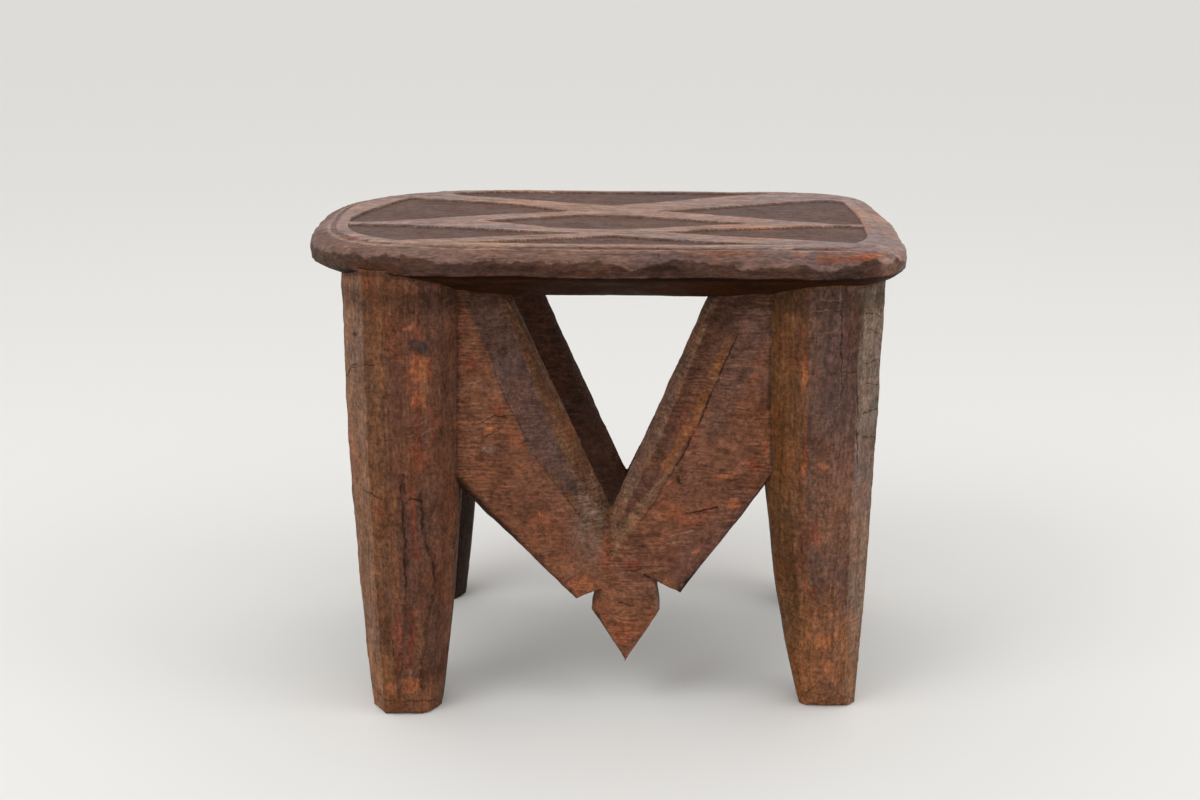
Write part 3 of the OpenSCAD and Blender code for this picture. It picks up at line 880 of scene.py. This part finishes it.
braces = {
    "frontBrace": {
        "nodes": ["front_left_strut", "front_right_strut", "front_pendant"],
        "near": ["seat", "front_left_leg", "front_right_leg"], "middle": 5 * mm, "side": -1,
        "marks": {
            "amber": [(7, (84, 276), (78, 260), (70, 240), (62, 222), (54, 204), (43, 184))],
            "clay": [
                (8, 66, 56, 90), (-8, 160, 14, 60), (-92, 234, 16, 44), (-50, 126, 34, 24),
                (-30, 110, 30, 24),
            ],
            "dark": [
                # the wide stroke along the top and the wide blob after it are painted shade under the seat
                (1.6, (50, 187), (42, 172), (34, 157), (24, 142)), (26, (-100, 305), (110, 305)),
                (78, 292, 34, 50),
                (1.4, (-87, 283), (-79, 260), (-71, 238), (-64, 222), (-57, 209), (-51, 195)),
                (1.2, (-51, 195), (-42, 182), (-33, 170), (-22, 154)),
                (1.6, (-35, 205), (-28, 186), (-21, 169), (-15, 151)),
            ],
            "grey": [(-10, 142, 40, 80)],
            "ochre": [(5, (-84, 256), (-77, 240), (-70, 222), (-62, 204))],
            "orange": [
                (-80, 212, 14, 5), (1.4, (-47, 152), (-43, 140), (-40, 130)),
                (1.2, (-44, 148), (-37, 128)), (-16, 96, 22, 16), (112, 200, 10, 14), (84, 178, 18, 5),
                (92, 158, 14, 10), (66, 122, 6, 5), (45, 96, 8, 10), (57, 196, 7, 5), (34, 70, 6, 12),
            ],
            # the pale scratches are worn lines with painted highlight where they catch the light
            "pale": [
                (1.4, (-99, 245), (-92, 245), (-86, 247)), (1.4, (-92, 231), (-84, 230)),
                (1, (-90, 227), (-83, 226)), (-82, 197, 12, 10), (1.1, (72, 248), (80, 252)),
                (1, (70, 244), (84, 246)), (1, (46, 134), (64, 138)), (1, (44, 128), (60, 130)),
            ],
            "plum": [
                (-50, 212, 14, 60), (-30, 178, 12, 40),
                (24, (104, 292), (94, 262), (84, 236), (76, 216)),
                (9, (56, 262), (44, 232), (30, 200), (18, 174)),
            ],
            "rust": [
                (-94, 258, 10, 20), (-76, 226, 12, 14), (2, 120, 12, 34), (20, 112, 16, 12),
                (106, 186, 18, 12), (2.4, (48, 206), (58, 231)), (14, 58, 22, 24),
            ],
            "soot": [
                (1, (-88, 216), (-78, 222), (-70, 220)), (1, (-84, 206), (-72, 214)), (-72, 268, 10, 14),
                (1.6, (54, 150), (66, 152), (80, 156)), (1.6, (28, 104), (38, 98), (46, 94)),
                (1.8, (90, 280), (82, 261), (74, 240), (67, 224), (57, 199), (50, 187)), (52, 176, 5, 9),
                (1.2, (10, 82), (22, 80)),
            ],
            "tan": [(8, (-36, 216), (-24, 182), (-12, 152))],
            "walnut": [
                (10, (79, 300), (71, 281), (63, 256), (56, 240), (48, 218), (38, 194)),
                (-74, 284, 36, 60), (-76, 196, 26, 14), (-56, 150, 16, 26),
                (8, (-62, 296), (-53, 270), (-44, 246), (-38, 230)),
            ],
        },
    },
    "backBrace": {
        "nodes": ["back_left_strut", "back_right_strut", "back_pendant"],
        "near": ["seat", "back_left_leg", "back_right_leg"], "middle": 19 * mm, "side": 1,
        "marks": {
            "orange": [(-60, 170, 20, 8), (70, 140, 12, 8), (20, 84, 24, 12)],
            # the pale scratches are worn lines with painted highlight where they catch the light
            "pale": [(1.2, (-94, 220), (-82, 224)), (1, (96, 232), (110, 236))],
            "plum": [(-40, 200, 16, 60)],
            "rust": [(-80, 240, 16, 30), (90, 190, 24, 16)],
            "soot": [(1.4, (84, 250), (70, 214), (58, 190)), (1.2, (-30, 130), (-10, 126))],
        },
    },
}


def braceTone(plan):
    # flats turned down, away or sideways are painted darker, as shade, and the front flats keep lit tones
    def choose(normal, place):
        facing = normal.y * plan["side"]
        left = place.x < plan["middle"]
        if facing > 0.97:
            return "red"
        if facing < -0.4 or (normal.z < -0.2 and facing < 0.2):
            return "walnut" if facing < -0.4 else "dark"
        if normal.z < -0.2:
            return "dark" if left else "brown"
        if facing > 0.8:
            return "plum" if left else "brown"
        if facing > 0.2:
            return "umber" if left else "tan"
        return "dark"
    return choose


def makeBrace(name, plan, material):
    parts = [copyNode(node, name + "Part" + str(k)) for k, node in enumerate(plan["nodes"])]
    piece = parts[0]
    piece.name = name
    for part in parts[1:]:
        applyModifier(piece, "BOOLEAN", operation="UNION", solver="EXACT", object=part)
        bpy.data.objects.remove(part)
    mergeFlats(piece)
    edges = pointTree(ridgePoints(piece, carving["leastRidge"]))
    source = copyPiece(piece, name + "Source")
    for way in (-1, 1):
        end = plan["middle"] + way * carving["braceEnd"]
        pushFaces(
            piece, lambda face: face.normal.x * way > 0.5 and (face.center.x - end) * way > 0,
            (way * carving["sink"], 0, 0),
        )
    pushFaces(
        piece, lambda face: face.normal.z > 0.5 and face.center.z > carving["underSeat"],
        (0, 0, carving["sink"]),
    )
    remesh(piece, carving["cell"])
    writeGroup(piece, "edge", nearness(piece, edges, carving["edge"]))
    carve(piece, (2.2, 1, 1))
    finish(piece, edges, source, plan, braceTone(plan), material, plan["nodes"])


# Seat

seatPlan = {
    "cell": 2.4 * mm, "top": 345 * mm, "floor": 343.4 * mm, "panelDepth": 1.6 * mm, "panelEdge": 1 * mm,
    "lineFloor": 344.2 * mm, "lineDepth": 0.9 * mm, "lineHalf": 1.6 * mm,
    # the line fades between these lengths along the seat, to this share
    "wornFrom": 152 * mm, "wornTo": 172 * mm, "wornLeft": 0.25,
    "spacing": 0.4 * mm, "panelNear": 2 * mm, "lineNear": 2.2 * mm, "cuts": 2, "far": 50 * mm,
    "leastRidge": 20, "edge": 9 * mm, "rimFront": 80 * mm, "rimFoot": 325 * mm, "paleEnd": 182 * mm,
    # name, size, depth and share that stands proud of each kind of hollow
    "adze": ("adze", 40 * mm, 1.5 * mm, 0.1), "scallop": ("scallop", 24 * mm, 3.4 * mm, 0.08),
    "nibble": ("nibble", 7 * mm, 0.9 * mm, 0.2), "gouge": ("gouge", 6 * mm, 0.7 * mm, 0.3),
    "pores": ("pores", 4 * mm, 0.2 * mm, 0.4),
    "rimMarks": {
        "dark": [(-60, 332, 70, 7), (34, 333, 60, 7), (120, 331, 60, 6), (160, 330, 50, 6)],
        "grey": [(-186, 333, 44, 20), (-130, 341, 60, 5)],
        "ochre": [(7, (142, 341), (190, 341)), (84, 342, 50, 4), (-20, 329, 60, 5)],
        "olive": [(-150, 330, 54, 9)],
        "orange": [(4, (148, 342), (184, 341)), (128, 342, 12, 4), (200, 338, 12, 6)],
        "pale": [(1.6, (-34, 327), (0, 326), (26, 327))],
        "plum": [(20, 342, 80, 5)],
        "rust": [(5, (140, 338), (176, 339))],
        "soot": [(1, (34, 344), (34, 340))],
    },
    "topMarks": {
        "clay": [(1.2, (191, 56), (192, 24), (190, -14))],
        "dark": [
            (1.4, (-157, 74), (-170, 55), (-178, 24), (-184, 0)),
            (1.4, (-184, 0), (-187, -22), (-186, -48), (-180, -76)),
        ],
        "grey": [(-100, 110, 120, 20)],
        "orange": [
            (2.2, (183, 85), (189.5, 57), (189.5, 26), (188.5, -12), (186.5, -38), (183.5, -62)),
            (3, (164, 90), (172, 89)),
        ],
        "pale": [
            (2.4, (-100, -121), (-40, -125), (20, -126), (90, -124)),
            # the pale line beside the incised line on the left end is painted highlight
            (5, (-165, 70), (-178, 44), (-187, 12), (-192, -20), (-191, -52)), (-196, -30, 30, 60),
            (190, 30, 24, 120),
        ],
    },
}


def flatFaces(source, height):
    # the upward faces at one height, as lists of corners
    return [
        list(face.vertices) for face in source.data.polygons
        if face.normal.z > 0.99 and abs(face.center.z - height) < 0.1 * mm
    ]


def outlinePoints(source, faces):
    # points along the outer edges of a set of faces, the edges that only one of them uses
    count = {}
    for face in faces:
        for k, v in enumerate(face):
            edge = tuple(sorted((v, face[(k + 1) % len(face)])))
            count[edge] = count.get(edge, 0) + 1
    points = []
    for edge, uses in count.items():
        if uses == 1:
            start, end = (source.data.vertices[v].co for v in edge)
            points += pointsBetween(start, end, seatPlan["spacing"])
    return points


def nearTop(vertex):
    return vertex.co.z > seatPlan["top"] - 3 * mm


def panelDistance(piece, source):
    # how far a point of the top lies inside a sunk panel, in metres, below 0 outside
    height = seatPlan["floor"]
    faces = flatFaces(source, height)
    inside = BVHTree.FromPolygons([v.co for v in source.data.vertices], faces)
    outline = pointTree(outlinePoints(source, faces))
    values = np.full(len(piece.data.vertices), -seatPlan["far"])
    for v in filter(nearTop, piece.data.vertices):
        below = Vector((v.co.x, v.co.y, height))
        distance = outline.find(below)[2]
        hit = inside.ray_cast(below + Vector((0, 0, 10 * mm)), Vector((0, 0, -1)))[0]
        values[v.index] = distance if hit is not None else -distance
    return values


def lineDistance(piece, source):
    # how far a point of the top lies from the incised line
    height = seatPlan["lineFloor"]
    outline = pointTree(outlinePoints(source, flatFaces(source, height)))
    values = np.full(len(piece.data.vertices), seatPlan["far"])
    for v in filter(nearTop, piece.data.vertices):
        values[v.index] = outline.find(Vector((v.co.x, v.co.y, height)))[2]
    return values


def refine(piece, near, cuts):
    # smaller faces where a carved edge passes
    editFaces(piece, lambda face: any(near[v] for v in face.vertices))
    bpy.ops.mesh.subdivide(number_cuts=cuts)
    objectMode()


def seatTone(normal, place):
    # the underside and the undercut below the rim are painted dark, as shade
    if normal.z > 0.97:
        return "band"
    if normal.z < -0.3:
        return "soffit"
    if normal.z < 0.2 and place.z < seatPlan["rimFoot"]:
        return "chamfer"
    return "band" if place.x > seatPlan["paleEnd"] else "rim"


def makeSeat(material):
    # the whole slab as its own hull, with the panels and the line then cut anew
    source = copyNode("seat", "seatSource")
    piece = copyPiece(source, "carvedSeat")
    pick(piece)
    editMode()
    bpy.ops.mesh.convex_hull()
    bpy.ops.mesh.dissolve_limited(angle_limit=merging["angle"])
    objectMode()
    edges = pointTree(ridgePoints(piece, seatPlan["leastRidge"]))
    remesh(piece, seatPlan["cell"])
    near = np.abs(panelDistance(piece, source)) < seatPlan["panelNear"]
    near = near | (lineDistance(piece, source) < seatPlan["lineNear"])
    refine(piece, near, seatPlan["cuts"])
    writeGroup(piece, "edge", nearness(piece, edges, seatPlan["edge"]))
    dent(piece, *seatPlan["adze"], stretch=(2, 1, 1))
    dent(piece, *seatPlan["scallop"], group="edge", stretch=(1.4, 1.4, 1))
    dent(piece, *seatPlan["nibble"], group="edge")
    panel = panelDistance(piece, source)
    sunk = np.clip(panel / seatPlan["panelEdge"] + 0.5, 0, 1)
    sunk = sunk * sunk * (3 - 2 * sunk)
    incised = np.clip(1 - lineDistance(piece, source) / seatPlan["lineHalf"], 0, 1)
    # the right end of the line is worn nearly flat
    across = np.array([v.co.x for v in piece.data.vertices])
    wear = (seatPlan["wornTo"] - across) / (seatPlan["wornTo"] - seatPlan["wornFrom"])
    incised = incised * np.clip(wear, seatPlan["wornLeft"], 1)
    for name, share, depth in ("sunk", sunk, "panelDepth"), ("line", incised, "lineDepth"):
        writeGroup(piece, name, share)
        applyModifier(
            piece, "DISPLACE", strength=-seatPlan[depth], mid_level=0, vertex_group=name, direction="Z",
        )
    dent(piece, *seatPlan["gouge"], group="sunk", stretch=(1.5, 1, 1))
    dent(piece, *seatPlan["pores"])
    writeAttribute(piece, "panel", panel / mm)
    writeAttribute(piece, "incised", incised)
    finish(piece, edges, source, seatPlan, seatTone, material, ["seat"])


def woodOf(name, look, plan):
    facing = (0, plan["side"], 0)
    return makeWood(name, look, [(facing, 0, frontal, plan["marks"])])


seatPlan["near"] = [plan["node"] for plan in legs.values()]
print("seat")
makeSeat(makeWood("seatWood", woods["seat"], [
    ((0, -1, 0), seatPlan["rimFront"], frontal, seatPlan["rimMarks"]),
    ((0, 0, 1), 0, level, seatPlan["topMarks"]),
]))
print("legs")
for name, plan in legs.items():
    makeLeg(name, plan, woodOf(name + "Wood", woods["legs"], plan))
print("braces")
for name, plan in braces.items():
    makeBrace(name, plan, woodOf(name + "Wood", woods["braces"], plan))

# Floor, light and camera

studio = {
    "floorSize": 80, "floor": (0.84, 0.835, 0.82, 1), "rough": 0.9, "shine": 0.1,
    "sky": (1, 0.99, 0.97, 1), "skyStrength": 0.85,
    "lens": 50, "sensor": 36, "stand": (-4 * mm, -1235 * mm, 544 * mm),
    "pitch": 74.5, "turn": 0.5, "aim": (0, 0, 0.2),
    # place, width and power of each lamp
    "lamps": {"windowLeft": ((-1.4, -1.2, 1.9), 1.4, 14), "windowRight": ((1.6, -0.6, 1.6), 1.4, 7)},
}


def makeFloor():
    bpy.ops.object.select_all(action="DESELECT")
    bpy.ops.mesh.primitive_plane_add(size=studio["floorSize"])
    floor = bpy.context.active_object
    floor.name = "floor"
    material = bpy.data.materials.new("paleFloor")
    material.use_nodes = True
    shader = material.node_tree.nodes["Principled BSDF"]
    shader.inputs["Base Color"].default_value = studio["floor"]
    shader.inputs["Roughness"].default_value = studio["rough"]
    shader.inputs["Specular IOR Level"].default_value = studio["shine"]
    floor.data.materials.append(material)


def makeSky():
    world = bpy.data.worlds.new("softRoom")
    bpy.context.scene.world = world
    world.use_nodes = True
    tree = world.node_tree
    tree.nodes.clear()
    path = put(tree, "ShaderNodeLightPath").outputs
    seen = maths(tree, "MAXIMUM", path["Is Camera Ray"], path["Is Glossy Ray"])
    seen = maths(tree, "MAXIMUM", seen, path["Is Transmission Ray"])
    room = put(tree, "ShaderNodeBackground")
    room.inputs["Color"].default_value = studio["sky"]
    room.inputs["Strength"].default_value = studio["skyStrength"]
    white = put(tree, "ShaderNodeBackground")
    white.inputs["Color"].default_value = (1, 1, 1, 1)
    both = put(tree, "ShaderNodeMixShader")
    feed(tree, both.inputs[0], seen)
    tree.links.new(room.outputs[0], both.inputs[1])
    tree.links.new(white.outputs[0], both.inputs[2])
    tree.links.new(both.outputs[0], put(tree, "ShaderNodeOutputWorld").inputs[0])


def makeLamp(name, place, width, power):
    bpy.ops.object.light_add(type="AREA", location=place)
    lamp = bpy.context.active_object
    lamp.name = name
    lamp.data.shape = "DISK"
    lamp.data.size = width
    lamp.data.energy = power
    aim = Vector(studio["aim"]) - Vector(place)
    lamp.rotation_euler = aim.to_track_quat("-Z", "Y").to_euler()


def makeCamera():
    bpy.ops.object.camera_add(location=studio["stand"])
    camera = bpy.context.active_object
    camera.rotation_mode = "ZYX"
    camera.rotation_euler = (math.radians(studio["pitch"]), 0, math.radians(studio["turn"]))
    camera.data.lens = studio["lens"]
    camera.data.sensor_width = studio["sensor"]
    camera.data.sensor_fit = "HORIZONTAL"
    bpy.context.scene.camera = camera


makeFloor()
makeSky()
for name, settings in studio["lamps"].items():
    makeLamp(name, *settings)
makeCamera()
bpy.context.scene.view_settings.view_transform = "Standard"
print("studio")
